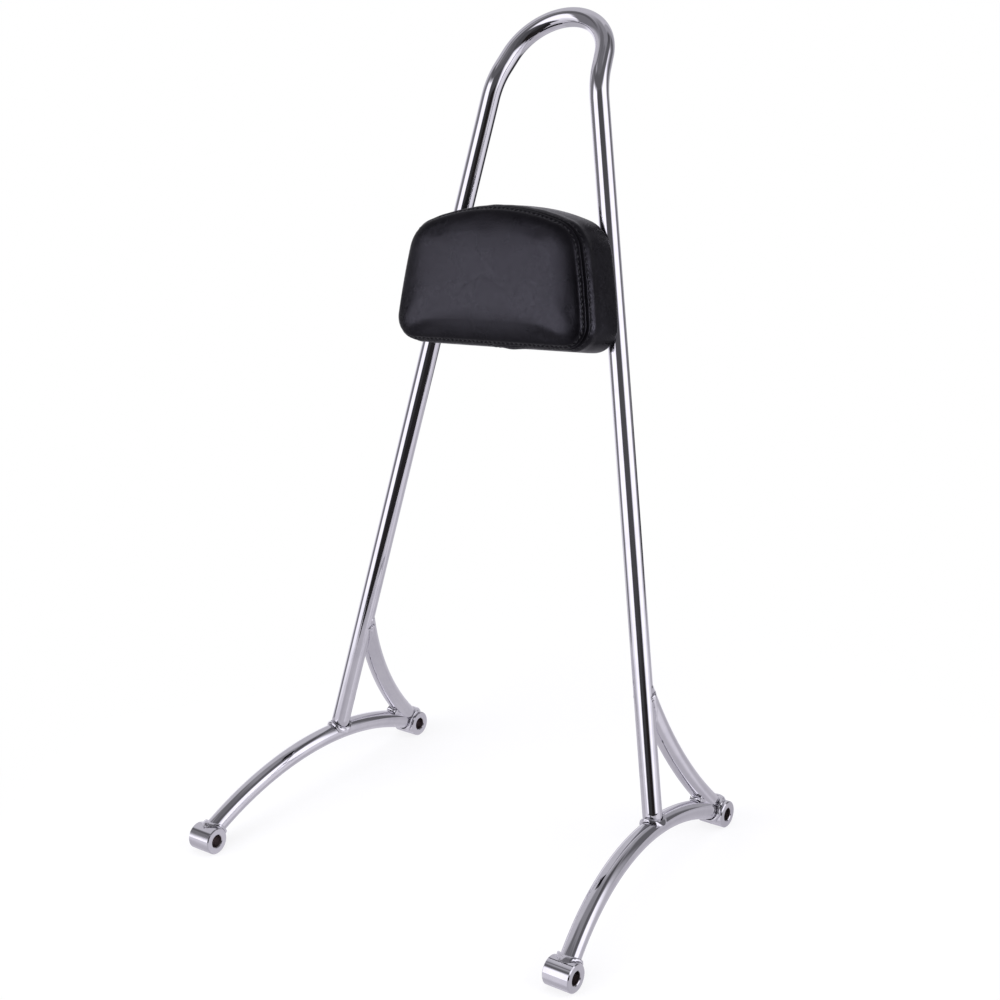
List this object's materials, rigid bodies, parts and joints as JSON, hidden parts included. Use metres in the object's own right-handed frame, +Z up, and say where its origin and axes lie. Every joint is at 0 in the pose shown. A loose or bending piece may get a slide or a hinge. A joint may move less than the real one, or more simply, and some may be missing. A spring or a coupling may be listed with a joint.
{
  "type": "sissy bar",
  "caption": "Chromed round-bar motorcycle backrest with leaning uprights, a swept-back top loop, braced side arms ending in cross bushes, and a padded vinyl back cushion.",
  "frame": {"origin": "on the ground under the middle of the whole bar, which stands on its bushes", "axes": "+Z up, +X to the rider's right, +Y to the rear, so the pad's face looks along -Y"},
  "size_m": [0.3118, 0.2896, 0.5307],
  "materials": {
    "chrome": "polished",
    "vinyl": "satin grain",
    "foam": "open-cell foam",
    "board": "raw plywood",
    "zinc_steel": "zinc plated"
  },
  "bodies": {
    "root": {"hoop": "chrome", "left_arm": "chrome", "right_arm": "chrome", "left_brace": "chrome", "right_brace": "chrome", "front_left_boss": "chrome", "front_right_boss": "chrome", "rear_left_boss": "chrome", "rear_right_boss": "chrome", "boss_welds": "chrome", "upright_welds": "chrome", "brace_top_welds": "chrome", "brace_foot_welds": "chrome", "pad_plate": "chrome", "plate_welds": "chrome", "pad_backboard": "board", "pad_foam": "foam", "pad_front_panel": "vinyl", "pad_side_band": "vinyl", "tee_nuts": "zinc_steel", "pad_screws": "zinc_steel", "pad_washers": "zinc_steel"}
  },
  "joints": []
}
